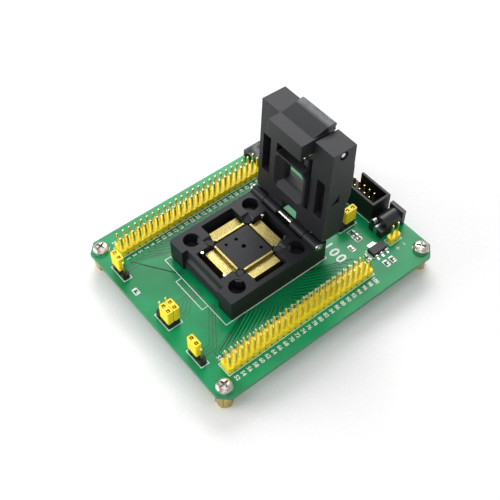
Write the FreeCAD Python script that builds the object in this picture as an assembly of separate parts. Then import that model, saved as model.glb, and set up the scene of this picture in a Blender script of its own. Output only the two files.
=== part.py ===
import FreeCAD, Part
import math
import os
from FreeCAD import Vector

# Programming adapter for a 100-lead flat package, in millimetres.
# The origin is the middle of the four standoffs, on the surface that they stand on.
# X runs to the right, Y away from the front edge towards the lid, Z up.

# Circuit board and what it stands on
board_width = 80.0
board_length = 96.4
board_thickness = 1.6
board_corner_cut = 3.6
screw_side_inset = 4.5
screw_end_inset = 4.0
screw_hole_diameter = 3.2
standoff_height = 7.0
standoff_across_flats = 5.5
thread_diameter = 2.5
screw_diameter = 2.7
screw_length = 5.0
screw_head_diameter = 5.8
screw_head_height = 2.2
screw_head_bevel = 0.9
screw_recess_width = 0.7
screw_recess_span = 3.2
screw_recess_depth = 1.3

# Pin headers and jumpers
pitch = 2.54
pin_size = 0.64
pin_tip_size = 0.32
pin_tip_length = 0.5
pin_tail_length = 1.5
header_rows = 2
header_front_margin = 8.05
header_back_space = 24.5
header_height = 2.54
header_notch = 0.55
header_spacing = 60.96
header_pin_height = 8.6
jumper_columns = 3
jumper_front_inset = 4.1
left_jumper_left_inset = 17.3
middle_jumper_x = 3.2
middle_jumper_inset = 5.55
right_jumper_right_inset = 18.7
supply_jumper_right_inset = 29.1
supply_jumper_back_inset = 17.5
jumper_pin_height = 8.2
cap_height = 6.0
cap_bore_clearance = 0.07
cap_gap = 0.15
cap_window = 1.3
cap_window_depth = 1.6
cap_bevel = 0.25
power_header_right_inset = 13.75
power_header_back_inset = 8.47

# Socket base
socket_setback = 0.7
base_width = 34.6
base_height = 9.33
base_front = 19.1
base_back = 22.9
base_floor = 1.5
base_edge_bevel = 0.4
post_hole_diameter = 6.0
post_hole_depth = 4.6
post_hole_x = 12.6
post_hole_y = 13.0
well_reach = 15.35
well_half_width = 6.7
platform_size = 14.3
platform_height = 7.7
platform_clearance = 0.1
funnel_top_half = 10.2
funnel_depth = 3.3
guide_rib_width = 2.4
guide_rib_low = 8.1
notch_half_width = 10.0
notch_top_inset = 2.3
notch_foot_inset = 0.8
notch_foot_height = 1.6
notch_toe = 1.0
catch_height = 7.0
catch_foot_height = 4.6
catch_depth = 1.25
vent_hole_depth = 3.0
platform_vents = [(-4.5, -4.2, 1.2), (-4.3, 0.0, 1.4), (-0.3, 0.2, 1.7), (3.9, 4.5, 1.3)]

# Contacts
contact_count = 25
contact_pitch = 0.5
contact_thickness = 0.3
contact_tip_inner = 7.5
contact_tip_length = 0.75
contact_tip_height = 8.15
contact_dip_height = 6.8
contact_arm_height = 7.2
contact_outer = 12.3
contact_foot_length = 2.4
retainer_pin_diameter = 1.0
retainer_pin_x = 6.15
retainer_pin_y = 13.3
retainer_pin_height = 9.1

# Hinge
hinge_setback = 18.9
hinge_height = 9.6
hinge_pin_diameter = 1.5
knuckle_diameter = 3.5
knuckle_inner = 3.7
knuckle_outer = 10.8
knuckle_side_gap = 0.3
knuckle_relief = 0.35
running_clearance = 0.05
trough_front_gap = 0.65
trough_height = 6.2
clip_thickness = 0.4
clip_diameter = 3.2
clip_groove_diameter = 1.1
clip_gap = 0.05
hinge_pin_overhang = 0.9
open_angle = 92.5

# Lid, measured along the lid from the hinge axis and up from it when the lid is closed
lid_overhang = 3.9
lid_face = 1.1
lid_start = 1.0
lid_back_at_end = 11.0
lid_back_at_middle = 12.0
lid_back_at_hinge = 10.5
lid_back_at_start = 9.0
lid_middle = 18.3
lid_step = 14.0
lid_heel = 3.5
web_height = 8.0
web_length = 1.7
hinge_notch_length = 5.0
plate_opening_gap = 0.5
rear_opening_half = 10.4
rear_opening_start = 9.0
rear_opening_end = 27.5
rear_opening_height = 7.9
latch_slot_length = 7.1
pocket_inner = 11.6
pocket_outer = 15.4
pocket_start = 11.4
pocket_end = 27.9
pocket_depth = 3.2
lug_inner = 5.2
lug_outer = 7.2
lug_length = 2.6
rod_diameter = 1.0
rod_crossbar_gap = 3.7
rod_up = 1.9
side_recess_size = 3.4
side_recess_depth = 0.9

# Pressure plate
plate_size = 16.2
plate_corner_cut = 1.6
plate_front = -0.6
plate_back = 6.6
plate_rim = 0.9
plate_window = 9.2
plate_web_start = 2.0
plate_web_end = 3.2
plate_rear_wall = 1.5
plate_pin_diameter = 1.5
plate_pin_along = 20.0
plate_pin_up = 5.0

# Latch
latch_width = 16.4
latch_side_gap = 0.3
latch_pin_diameter = 1.6
latch_pin_inset = 1.95
latch_pin_up = 5.76
hook_reach = -4.15
hook_nose_top = -2.9
hook_clearance = 0.32
hook_leg_gap = 0.45
latch_overhang = 0.5
tab_overhang = 2.8
tab_up = 9.9
tab_back = 11.2
tab_half_width = 7.7
latch_back = 9.6
latch_bevel = 1.5
latch_foot_step = 2.0
hook_nose_slope = 0.64
tab_corner = 1.2
tab_root_inset = 0.4
latch_pin_overhang = 0.5
latch_heel_gap = 2.2
spring_notch_width = 5.2
spring_notch_up = 3.4
spring_notch_inset = 0.1
spring_wire = 0.4
spring_radius = 1.3
spring_turns = 3.25
spring_pitch = 0.62
spring_seat_gap = 0.01
spring_leg_gap = 0.02

# Shrouded header
box_header_length = 33.02
box_header_width = 8.8
box_header_height = 9.0
box_header_wall = 1.1
box_header_floor = 2.4
box_header_key = 4.5
box_header_right_inset = 41.06
box_header_back_inset = 4.85
box_header_columns = 10
box_header_pin_height = 7.3

# DC power jack
jack_right_inset = 19.85
jack_length = 11.6
jack_width = 6.2
jack_height = 6.5
jack_flange_width = 6.6
jack_flange_height = 7.0
jack_flange_length = 1.6
jack_edge_inset = 0.3
jack_bore_diameter = 3.8
jack_bore_depth = 8.6
jack_centre_height = 3.4
jack_centre_diameter = 1.3
jack_centre_length = 6.6
jack_rear_cut = 2.6
jack_lead_width = 1.6
jack_leaf_thickness = 0.3
jack_leaf_gap = 0.3
jack_leaf_height = 5.4
jack_tip_bevel = 0.3

# Small power receptacle at the left edge
usb_length = 9.2
usb_width = 7.7
usb_height = 3.9
usb_wall = 0.3
usb_taper = 1.0
usb_back_inset = 20.75
usb_edge_inset = 0.8
usb_tongue_length = 6.0
usb_tongue_width = 3.6
usb_tongue_thickness = 1.0

# Surface-mount parts, placed from the board's right and back edges
regulator_right_inset = 13.8
regulator_back_inset = 16.45
regulator_width = 3.5
regulator_length = 6.5
regulator_height = 1.7
regulator_draft = 0.15
regulator_stand_off = 0.1
lead_pitch = 2.3
lead_width = 0.75
lead_thickness = 0.25
lead_shoulder = 0.5
lead_reach = 1.9
lead_height = 0.9
tab_lead_width = 3.0
chip_length = 1.6
chip_width = 0.8
resistor_height = 0.45
capacitor_height = 0.8
led_height = 0.7
chip_cap_length = 0.32
chip_body_inset = 0.04
led_insets = (20.0, 22.9, False)
resistor_insets = [(25.4, 18.0, True), (23.6, 18.0, True), (13.4, 21.4, False)]
capacitor_insets = [(21.7, 18.0, True), (7.5, 17.9, False), (7.5, 15.0, False)]
front_resistor_left_inset = 27.3
front_resistor_inset = 3.3

# How far a cut runs past the surface that it opens
beyond = 1.0

board_top = standoff_height + board_thickness
board_right = board_width / 2
board_back = board_length / 2
screw_spacing_x = board_width - 2 * screw_side_inset
screw_spacing_y = board_length - 2 * screw_end_inset
header_columns = int((board_length - header_front_margin - header_back_space) / pitch)
header_centre_y = header_front_margin + header_columns * pitch / 2 - board_back
socket_y = header_centre_y + socket_setback
hinge_y = socket_y + hinge_setback
hinge_z = board_top + hinge_height
lid_length = hinge_setback + base_front + lid_overhang
crossbar_end = lid_length - latch_slot_length
rod_along = crossbar_end - rod_crossbar_gap
latch_pin_along = lid_length - latch_pin_inset
latch_end = lid_length + latch_overhang
tab_end = lid_length + tab_overhang
latch_heel = crossbar_end + latch_heel_gap
spring_notch_top = lid_length - spring_notch_inset
left_jumper_x = left_jumper_left_inset - board_right
right_jumper_x = board_right - right_jumper_right_inset
middle_jumper_y = middle_jumper_inset - board_back
supply_jumper_x = board_right - supply_jumper_right_inset
supply_jumper_y = board_back - supply_jumper_back_inset
power_header_x = board_right - power_header_right_inset
power_header_y = board_back - power_header_back_inset
box_header_x = board_right - box_header_right_inset
box_header_y = board_back - box_header_back_inset
jack_x = board_right - jack_right_inset
usb_y = board_back - usb_back_inset
regulator_x = board_right - regulator_right_inset
regulator_y = board_back - regulator_back_inset
base_half = base_width / 2
base_top = board_top + base_height
plate_middle = hinge_y - socket_y
latch_slot_half = latch_width / 2 + latch_side_gap


def box(x0, x1, y0, y1, z0, z1):
    return Part.makeBox(x1 - x0, y1 - y0, z1 - z0, Vector(x0, y0, z0))


def joined(shapes):
    """One solid from shapes that touch or overlap."""
    whole = shapes[0]
    for shape in shapes[1:]:
        whole = whole.fuse(shape)
    return whole.removeSplitter()


def moved(shape, x, y, z):
    copy = shape.copy()
    copy.translate(Vector(x, y, z))
    return copy


def turned(shape, angle):
    copy = shape.copy()
    copy.rotate(Vector(0, 0, 0), Vector(0, 0, 1), angle)
    return copy


def face_of(points):
    return Part.Face(Part.makePolygon(points + points[:1]))


def plan_prism(points, z0, z1):
    """A prism over an outline given in X and Y."""
    outline = face_of([Vector(x, y, z0) for x, y in points])
    return outline.extrude(Vector(0, 0, z1 - z0))


def side_prism(points, x0, x1):
    """A prism along X over an outline given in Y and Z."""
    outline = face_of([Vector(x0, y, z) for y, z in points])
    return outline.extrude(Vector(x1 - x0, 0, 0))


def frustum(low_side, high_side, z0, z1):
    """Square block on the Z axis that tapers from one side length to another."""
    low = low_side / 2
    high = high_side / 2
    block = Part.makeWedge(-low, 0, -low, -high, -high, low, z1 - z0, low, high, high)
    block.rotate(Vector(0, 0, 0), Vector(1, 0, 0), 90)
    return moved(block, 0, 0, z0)


def rod_along_x(x0, x1, y, z, diameter):
    return Part.makeCylinder(diameter / 2, x1 - x0, Vector(x0, y, z), Vector(1, 0, 0))


def four_corners(spacing_x, spacing_y):
    return [(sx * spacing_x / 2, sy * spacing_y / 2) for sx in (-1, 1) for sy in (-1, 1)]


# Pin positions

def pin_grid(columns, rows, centre_x, centre_y, along_y):
    """Centres of a pin field, with its columns along Y or along X."""
    places = []
    for column in range(columns):
        for row in range(rows):
            far = (column - (columns - 1) / 2) * pitch
            across = (row - (rows - 1) / 2) * pitch
            step = (across, far) if along_y else (far, across)
            places.append((centre_x + step[0], centre_y + step[1]))
    return places


jumper_y = jumper_front_inset - board_back
header_half = header_spacing / 2
left_header_places = pin_grid(header_columns, header_rows, -header_half, header_centre_y, True)
right_header_places = pin_grid(header_columns, header_rows, header_half, header_centre_y, True)
left_jumper_places = pin_grid(jumper_columns, 1, left_jumper_x, jumper_y, False)
middle_jumper_places = pin_grid(jumper_columns, 2, middle_jumper_x, middle_jumper_y, False)
right_jumper_places = pin_grid(jumper_columns, 1, right_jumper_x, jumper_y, False)
supply_jumper_places = pin_grid(jumper_columns, 1, supply_jumper_x, supply_jumper_y, True)
power_header_places = pin_grid(2, 1, power_header_x, power_header_y, True)
box_header_places = pin_grid(box_header_columns, 2, box_header_x, box_header_y, False)


# Board, standoffs and screws

def pcb():
    cut = board_corner_cut
    side = board_right - cut
    end = board_back - cut
    outline = [
        (-side, -board_back), (side, -board_back), (board_right, -end), (board_right, end),
        (side, board_back), (-side, board_back), (-board_right, end), (-board_right, -end),
    ]
    board = plan_prism(outline, standoff_height, board_top)
    holes = []
    for x, y in four_corners(screw_spacing_x, screw_spacing_y):
        drill = Part.makeCylinder(screw_hole_diameter / 2, board_thickness, Vector(x, y, standoff_height))
        holes.append(drill)
    places = left_header_places + right_header_places + box_header_places + power_header_places
    places = places + left_jumper_places + middle_jumper_places
    places = places + right_jumper_places + supply_jumper_places
    for x, y in places:
        holes.append(pin_space(x, y, standoff_height, board_top))
    return board.cut(Part.makeCompound(holes))


def standoff():
    """Hexagon bar with a through thread, in which the board's screw takes the upper end."""
    radius = standoff_across_flats / math.sqrt(3)
    corners = [(radius * math.cos(math.radians(60 * k)), radius * math.sin(math.radians(60 * k)))
               for k in range(6)]
    bore = Part.makeCylinder(thread_diameter / 2, standoff_height)
    screw_space = Part.makeCylinder(screw_diameter / 2, screw_length, Vector(0, 0, board_top - screw_length))
    return plan_prism(corners, 0, standoff_height).cut(bore).cut(screw_space)


def board_screw():
    head = Part.makeCylinder(screw_head_diameter / 2, screw_head_height, Vector(0, 0, board_top))
    rim = [edge for edge in head.Edges if edge.BoundBox.ZMin > board_top + screw_head_height / 2]
    head = head.makeChamfer(screw_head_bevel, [edge for edge in rim if edge.Closed])
    shank = Part.makeCylinder(screw_diameter / 2, screw_length, Vector(0, 0, board_top - screw_length))
    top = board_top + screw_head_height
    arm = screw_recess_span / 2
    slot = screw_recess_width / 2
    floor = top - screw_recess_depth
    cross = box(-arm, arm, -slot, slot, floor, top).fuse(box(-slot, slot, -arm, arm, floor, top))
    return joined([head, shank]).cut(cross)


def at_screws(shape):
    copies = [moved(shape, x, y, 0) for x, y in four_corners(screw_spacing_x, screw_spacing_y)]
    return Part.makeCompound(copies)


# Headers and jumpers

def pin_space(x, y, z0, z1):
    half = pin_size / 2
    return box(x - half, x + half, y - half, y + half, z0, z1)


def square_pin(height):
    """A pin from its tail under the board to its tapered tip, on the Z axis."""
    shoulder = board_top + height - pin_tip_length
    shank = pin_space(0, 0, standoff_height - pin_tail_length, shoulder)
    tip = frustum(pin_size, pin_tip_size, shoulder, board_top + height)
    return joined([shank, tip])


def pins_at(places, height):
    pin = square_pin(height)
    return Part.makeCompound([moved(pin, x, y, 0) for x, y in places])


def header_body(columns, rows, height):
    """Moulded strip with its columns along Y, notched between columns, with its pin holes."""
    half_width = rows * pitch / 2
    right_side = []
    for column in range(columns):
        start = (column - columns / 2) * pitch
        right_side.append((half_width - header_notch, start))
        right_side.append((half_width, start + header_notch))
        right_side.append((half_width, start + pitch - header_notch))
    right_side.append((half_width - header_notch, columns * pitch / 2))
    left_side = [(-x, y) for x, y in reversed(right_side)]
    strip = plan_prism(right_side + left_side, board_top, board_top + height)
    spaces = [pin_space(x, y, board_top, board_top + height)
              for x, y in pin_grid(columns, rows, 0, 0, True)]
    return strip.cut(Part.makeCompound(spaces))


def long_header_body(side):
    body = header_body(header_columns, header_rows, header_height)
    return moved(body, side * header_half, header_centre_y, 0)


def jumper_base(rows, x, y, angle):
    return moved(turned(header_body(jumper_columns, rows, header_height), angle), x, y, 0)


def jumper_cap(x, y, along_y):
    """Cap over two pins, with bores that clear them and windows at the top."""
    length = 2 * pitch - cap_gap
    width = pitch - cap_gap
    low = board_top + header_height
    high = low + cap_height
    cap = box(-length / 2, length / 2, -width / 2, width / 2, low, high)
    upright = [edge for edge in cap.Edges if edge.BoundBox.ZLength > cap_height / 2]
    cap = cap.makeChamfer(cap_bevel, upright)
    bore = pin_size / 2 + cap_bore_clearance
    window = cap_window / 2
    for px in (-pitch / 2, pitch / 2):
        cap = cap.cut(box(px - bore, px + bore, -bore, bore, low, high))
        cap = cap.cut(box(px - window, px + window, -window, window, high - cap_window_depth, high))
    return moved(turned(cap, 90 if along_y else 0), x, y, 0)


# Socket base and platform

def socket_point(along, height):
    """Y and Z from a distance behind the socket's middle and a height over the board."""
    return (socket_y + along, board_top + height)


def socket_box(half_x, y0, y1, z0, z1):
    return box(-half_x, half_x, socket_y + y0, socket_y + y1, board_top + z0, board_top + z1)


def base_block():
    block = socket_box(base_half, -base_front, base_back, 0, base_height)
    upright = [edge for edge in block.Edges if edge.BoundBox.ZLength > base_height / 2]
    return block.makeChamfer(base_edge_bevel, upright)


def front_notch():
    """Space in front of the catch: a ramp, the undercut that holds the hook, and a toe."""
    front = -base_front
    above = base_height + beyond
    ramp_top = front + notch_top_inset
    ramp_foot = front + notch_foot_inset
    slope = (ramp_top - ramp_foot) / (base_height - notch_foot_height)
    lip = ramp_top - slope * (base_height - catch_height)
    points = [
        (front - beyond, above), (ramp_top, above), (ramp_top, base_height), (lip, catch_height),
        (lip + catch_depth, catch_height),
        (ramp_top - slope * (base_height - catch_foot_height), catch_foot_height),
        (ramp_foot, notch_foot_height), (ramp_foot + notch_toe, notch_foot_height),
        (ramp_foot + notch_toe, 0), (front - beyond, 0),
    ]
    return side_prism([socket_point(y, z) for y, z in points], -notch_half_width, notch_half_width)


def catch_lip_y():
    slope = (notch_top_inset - notch_foot_inset) / (base_height - notch_foot_height)
    return socket_y - base_front + notch_top_inset - slope * (base_height - catch_height)


def socket_well():
    """Cross-shaped well for the contacts round the square hole of the platform."""
    high = base_height + beyond
    across = socket_box(well_reach, -well_half_width, well_half_width, base_floor, high)
    along = socket_box(well_half_width, -well_reach, well_reach, base_floor, high)
    half = platform_size / 2 + platform_clearance
    middle = socket_box(half, -half, half, base_floor, high)
    funnel = frustum(2 * half, 2 * funnel_top_half, base_top - funnel_depth, base_top)
    return joined([across, along, middle, moved(funnel, 0, socket_y, 0)])


def guide_ribs():
    """Sloping ribs on the diagonals that lead a chip's corners down to the platform."""
    inner = (platform_size / 2 + platform_clearance) * math.sqrt(2)
    outer = (funnel_top_half + guide_rib_width / 2) * math.sqrt(2)
    low = base_top - funnel_depth - beyond
    half = guide_rib_width / 2
    profile = [Vector(inner, -half, low), Vector(outer, -half, low), Vector(outer, -half, base_top),
               Vector(inner, -half, board_top + guide_rib_low)]
    rib = face_of(profile).extrude(Vector(0, guide_rib_width, 0))
    clear = platform_size / 2 + platform_clearance
    keep_out = box(-clear, clear, -clear, clear, low, base_top)
    ribs = [turned(rib, angle).cut(keep_out) for angle in (45, 135, 225, 315)]
    return [moved(one, 0, socket_y, 0) for one in ribs]


def socket_base():
    body = base_block().cut(front_notch())
    body = body.cut(socket_well())
    for x, y in four_corners(2 * post_hole_x, 2 * post_hole_y):
        hole = Part.makeCylinder(post_hole_diameter / 2, post_hole_depth,
                                 Vector(x, socket_y + y, base_top - post_hole_depth))
        body = body.cut(hole)
    trough_front = hinge_y - knuckle_diameter / 2 - trough_front_gap
    trough = box(-knuckle_outer, knuckle_outer, trough_front, socket_y + base_back,
                 board_top + trough_height, base_top)
    body = body.cut(trough)
    ears = [rod_along_x(knuckle_outer, base_half, hinge_y, hinge_z, knuckle_diameter),
            rod_along_x(-base_half, -knuckle_outer, hinge_y, hinge_z, knuckle_diameter)]
    body = joined([body] + ears + guide_ribs())
    bore = rod_along_x(-base_half, base_half, hinge_y, hinge_z, hinge_pin_diameter)
    body = body.cut(bore)
    return body.cut(Part.makeCompound(retainer_pin_cylinders()))


def seating_platform():
    half = platform_size / 2
    block = socket_box(half, -half, half, base_floor, platform_height)
    top = board_top + platform_height
    for x, y, diameter in platform_vents:
        floor = Vector(x, socket_y + y, top - vent_hole_depth)
        block = block.cut(Part.makeCylinder(diameter / 2, vent_hole_depth, floor))
    return block


# Contacts

def contact():
    """One sprung finger, with its tip towards the platform along negative Y."""
    tip_outer = contact_tip_inner + contact_tip_length
    foot_inner = contact_outer - contact_foot_length
    profile = [
        (contact_tip_inner, contact_tip_height), (tip_outer, contact_tip_height),
        (tip_outer + contact_tip_length / 2, contact_dip_height),
        (contact_outer, contact_arm_height), (contact_outer, base_floor), (foot_inner, base_floor),
        (contact_tip_inner, contact_tip_height - contact_tip_length),
    ]
    outline = [(y, board_top + z) for y, z in profile]
    return side_prism(outline, -contact_thickness / 2, contact_thickness / 2)


def contact_bank(angle):
    """Row of contacts on one side of the socket."""
    finger = contact()
    first = -(contact_count - 1) / 2 * contact_pitch
    row = [moved(finger, first + k * contact_pitch, 0, 0) for k in range(contact_count)]
    return Part.makeCompound([moved(turned(one, angle), 0, socket_y, 0) for one in row])


def retainer_pin_cylinders():
    low = board_top + base_floor
    height = retainer_pin_height - base_floor
    return [Part.makeCylinder(retainer_pin_diameter / 2, height, Vector(x, socket_y + y, low))
            for x, y in four_corners(2 * retainer_pin_x, 2 * retainer_pin_y)]


def retainer_pins():
    return Part.makeCompound(retainer_pin_cylinders())


# Hinge

def clip_ring(x):
    """Split ring in the groove at one end of the hinge pin."""
    ring = rod_along_x(x, x + clip_thickness, hinge_y, hinge_z, clip_diameter)
    ring = ring.cut(rod_along_x(x, x + clip_thickness, hinge_y, hinge_z, clip_groove_diameter))
    half = clip_groove_diameter / 2
    mouth = box(x, x + clip_thickness, hinge_y - half, hinge_y + half, hinge_z - clip_diameter, hinge_z)
    return ring.cut(mouth)


def clip_starts():
    outside = base_half + clip_gap
    return [outside, -outside - clip_thickness]


def hinge_pin():
    reach = base_half + hinge_pin_overhang
    pin = rod_along_x(-reach, reach, hinge_y, hinge_z, hinge_pin_diameter)
    for x in clip_starts():
        groove = rod_along_x(x, x + clip_thickness, hinge_y, hinge_z, knuckle_diameter)
        pin = pin.cut(groove.cut(rod_along_x(x, x + clip_thickness, hinge_y, hinge_z, clip_groove_diameter)))
    return pin


def hinge_clips():
    return Part.makeCompound([clip_ring(x) for x in clip_starts()])


# Lid: its pieces are drawn closed and then turned open about the hinge

def lid_point(along, up):
    return (hinge_y - along, hinge_z + up)


def lid_prism(points, x0, x1):
    return side_prism([lid_point(along, up) for along, up in points], x0, x1)


def lid_box(x0, x1, along0, along1, up0, up1):
    return box(x0, x1, hinge_y - along1, hinge_y - along0, hinge_z + up0, hinge_z + up1)


def lid_rod(x0, x1, along, up, diameter):
    y, z = lid_point(along, up)
    return rod_along_x(x0, x1, y, z, diameter)


def opened(shape):
    copy = shape.copy()
    copy.rotate(Vector(0, hinge_y, hinge_z), Vector(1, 0, 0), -open_angle)
    return copy


def both_sides(x0, x1, maker):
    """The same feature on the right and on the left."""
    return [maker(x0, x1), maker(-x1, -x0)]


def lid_side_recess(x0, x1):
    """Three-cornered recess at the end of a plate pin."""
    half = side_recess_size / 2
    along = plate_pin_along
    up = plate_pin_up
    corners = [(along - half, up - half), (along + half, up + half), (along - half, up + half)]
    return lid_prism(corners, x0, x1)


def lid_frame():
    profile = [
        (lid_start, lid_face), (lid_length, lid_face), (lid_length, lid_back_at_end),
        (lid_middle, lid_back_at_middle), (lid_step, lid_back_at_hinge),
        (lid_heel, lid_back_at_hinge), (lid_start, lid_back_at_start),
    ]
    body = lid_prism(profile, -base_half, base_half)
    far = lid_back_at_middle + beyond
    deep = plate_front - beyond
    opening_half = plate_size / 2 + plate_opening_gap
    opening_start = plate_middle - opening_half
    relief = knuckle_diameter + 2 * knuckle_relief
    cuts = [
        lid_box(-opening_half, opening_half, opening_start, crossbar_end, deep, crossbar_inner_up()),
        lid_box(-rear_opening_half, rear_opening_half, rear_opening_start, rear_opening_end,
                rear_opening_height, far),
        lid_box(-latch_slot_half, latch_slot_half, crossbar_end, lid_length, deep, far),
        lid_box(-opening_half, opening_half, opening_start, rear_opening_end, deep, rear_opening_height),
    ]
    cuts += both_sides(knuckle_outer - knuckle_side_gap, base_half,
                       lambda x0, x1: lid_rod(x0, x1, 0, 0, relief))
    cuts += both_sides(pocket_inner, pocket_outer,
                       lambda x0, x1: lid_box(x0, x1, pocket_start, pocket_end, 0, lid_face + pocket_depth))
    cuts += both_sides(base_half - side_recess_depth, base_half, lid_side_recess)
    cuts += both_sides(base_half - side_recess_depth, base_half,
                       lambda x0, x1: lid_rod(x0, x1, latch_pin_along, latch_pin_up, side_recess_size))
    for cut in cuts:
        body = body.cut(cut)
    outer = knuckle_outer - knuckle_side_gap
    knuckles = both_sides(knuckle_inner, outer, lambda x0, x1: lid_rod(x0, x1, 0, 0, knuckle_diameter))
    webs = both_sides(knuckle_inner, outer, lambda x0, x1: lid_box(x0, x1, 0, web_length, 0, web_height))
    lugs = both_sides(lug_inner, lug_outer,
                      lambda x0, x1: lid_box(x0, x1, rod_along - lug_length / 2, rod_along + lug_length / 2,
                                             rod_up - lug_length / 2, crossbar_inner_up()))
    body = joined([body] + knuckles + webs + lugs)
    hinge_notch = lid_box(-knuckle_inner, knuckle_inner, -knuckle_diameter, hinge_notch_length, -far, far)
    body = body.cut(hinge_notch)
    running = 2 * running_clearance
    body = body.cut(lid_rod(-base_half, base_half, 0, 0, hinge_pin_diameter + running))
    body = body.cut(lid_rod(-base_half, base_half, latch_pin_along, latch_pin_up, latch_pin_diameter))
    for pin in plate_pin_rods():
        body = body.cut(pin)
    body = body.cut(stop_rod_cylinder())
    return opened(body)


def crossbar_inner_up():
    """Height of the crossbar's inner face, where the latch spring's long leg bears."""
    return latch_pin_up + spring_radius + spring_wire / 2 + spring_seat_gap


def stop_rod_cylinder():
    return lid_rod(-lug_outer, lug_outer, rod_along, rod_up, rod_diameter)


def plate_pin_rods():
    inner = plate_size / 2 - plate_rear_wall
    outer = base_half - side_recess_depth
    return both_sides(inner, outer,
                      lambda x0, x1: lid_rod(x0, x1, plate_pin_along, plate_pin_up, plate_pin_diameter))


def plate_pins():
    return opened(Part.makeCompound(plate_pin_rods()))


def cut_square(side):
    """Square block with cut corners, as deep as the pressure plate."""
    half = side / 2
    near = half - plate_corner_cut
    y, low = lid_point(plate_middle, plate_front)
    corners = [(near, -half), (half, -near), (half, near), (near, half),
               (-near, half), (-half, near), (-half, -near), (-near, -half)]
    return plan_prism([(px, y + py) for px, py in corners], low, hinge_z + plate_back)


def pressure_plate():
    block = cut_square(plate_size)
    mouth = plate_size - 2 * plate_rim
    y, z = lid_point(plate_middle, plate_front)
    funnel = moved(frustum(mouth, plate_window, 0, plate_web_start - plate_front), 0, y, z)
    funnel = funnel.common(cut_square(mouth))
    window_half = plate_window / 2
    window = lid_box(-window_half, window_half, plate_middle - window_half, plate_middle + window_half,
                     plate_front, plate_back)
    rear_half = plate_size / 2 - plate_rear_wall
    rear = lid_box(-rear_half, rear_half, plate_middle - rear_half, plate_middle + rear_half,
                   plate_web_end, plate_back)
    plate = block.cut(funnel).cut(window).cut(rear)
    bore = plate_pin_diameter + 2 * running_clearance
    plate = plate.cut(lid_rod(-plate_size, plate_size, plate_pin_along, plate_pin_up, bore))
    return opened(plate)


def lid_latch():
    """Hook, body and finger tab in one moulding."""
    lip_along = hinge_y - catch_lip_y()
    leg_inner = lip_along + hook_leg_gap
    slope_run = catch_depth - hook_clearance
    nose_top = lip_along - slope_run
    nose_low = nose_top + (hook_nose_top - hook_reach) * hook_nose_slope
    half = latch_width / 2
    profile = [
        (leg_inner, hook_nose_top), (nose_top, hook_nose_top), (nose_low, hook_reach),
        (latch_end, hook_reach), (latch_end, lid_face), (tab_end, tab_up), (tab_end - tab_corner, tab_back),
        (lid_length - tab_root_inset, latch_back), (latch_heel + latch_bevel, latch_back),
        (latch_heel, latch_back - latch_bevel), (latch_heel, lid_face + latch_foot_step),
        (leg_inner, lid_face),
    ]
    body = lid_prism(profile, -half, half)
    trim = both_sides(tab_half_width, half,
                      lambda x0, x1: lid_box(x0, x1, latch_end, tab_end + beyond, 0, tab_back + beyond))
    notch_half = spring_notch_width / 2
    notch = lid_box(-notch_half, notch_half, crossbar_end, spring_notch_top, spring_notch_up, tab_back)
    body = body.cut(Part.makeCompound(trim)).cut(notch)
    bore = latch_pin_diameter + 2 * running_clearance
    return opened(body.cut(lid_rod(-half, half, latch_pin_along, latch_pin_up, bore)))


def latch_pin():
    outer = base_half - side_recess_depth + latch_pin_overhang
    return opened(lid_rod(-outer, outer, latch_pin_along, latch_pin_up, latch_pin_diameter))


def latch_spring():
    """Square-wire coil round the latch pin, with a leg on the latch and a leg on the lid's crossbar."""
    length = spring_turns * spring_pitch
    helix = Part.makeHelix(spring_pitch, length, spring_radius)
    half = spring_wire / 2
    inner = spring_radius - half
    outer = spring_radius + half
    corners = [Vector(inner, 0, -half), Vector(outer, 0, -half),
               Vector(outer, 0, half), Vector(inner, 0, half)]
    section = Part.makePolygon(corners + corners[:1])
    coil = Part.Wire(helix.Edges).makePipeShell([section], True, True)
    short_leg = latch_pin_up - spring_notch_up - spring_leg_gap
    long_leg = latch_pin_along - (crossbar_end - lug_length / 2)
    start_leg = box(inner, outer, -short_leg, 0, -half, half)
    end_leg = box(-long_leg, 0, inner, outer, length - half, length + half)
    spring = coil.fuse(start_leg).fuse(end_leg)
    spring.translate(Vector(0, 0, -length / 2))
    placement = FreeCAD.Matrix(0, 0, 1, 0, -1, 0, 0, 0, 0, 1, 0, 0, 0, 0, 0, 1)
    spring = spring.transformGeometry(placement)
    y, z = lid_point(latch_pin_along, latch_pin_up)
    return opened(moved(spring, 0, y, z))


def stop_rod():
    return opened(stop_rod_cylinder())


# Connectors

def box_header_shroud():
    half_x = box_header_length / 2
    half_y = box_header_width / 2
    wall = box_header_wall
    top = board_top + box_header_height
    floor = board_top + box_header_floor
    shroud = box(-half_x, half_x, -half_y, half_y, board_top, top)
    shroud = shroud.cut(box(-half_x + wall, half_x - wall, -half_y + wall, half_y - wall, floor, top))
    key = box_header_key / 2
    shroud = shroud.cut(box(-key, key, half_y - wall, half_y, floor, top))
    shroud = moved(shroud, box_header_x, box_header_y, 0)
    spaces = [pin_space(x, y, board_top, floor) for x, y in box_header_places]
    return shroud.cut(Part.makeCompound(spaces))


def jack_front_y():
    return board_back - jack_edge_inset


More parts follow.
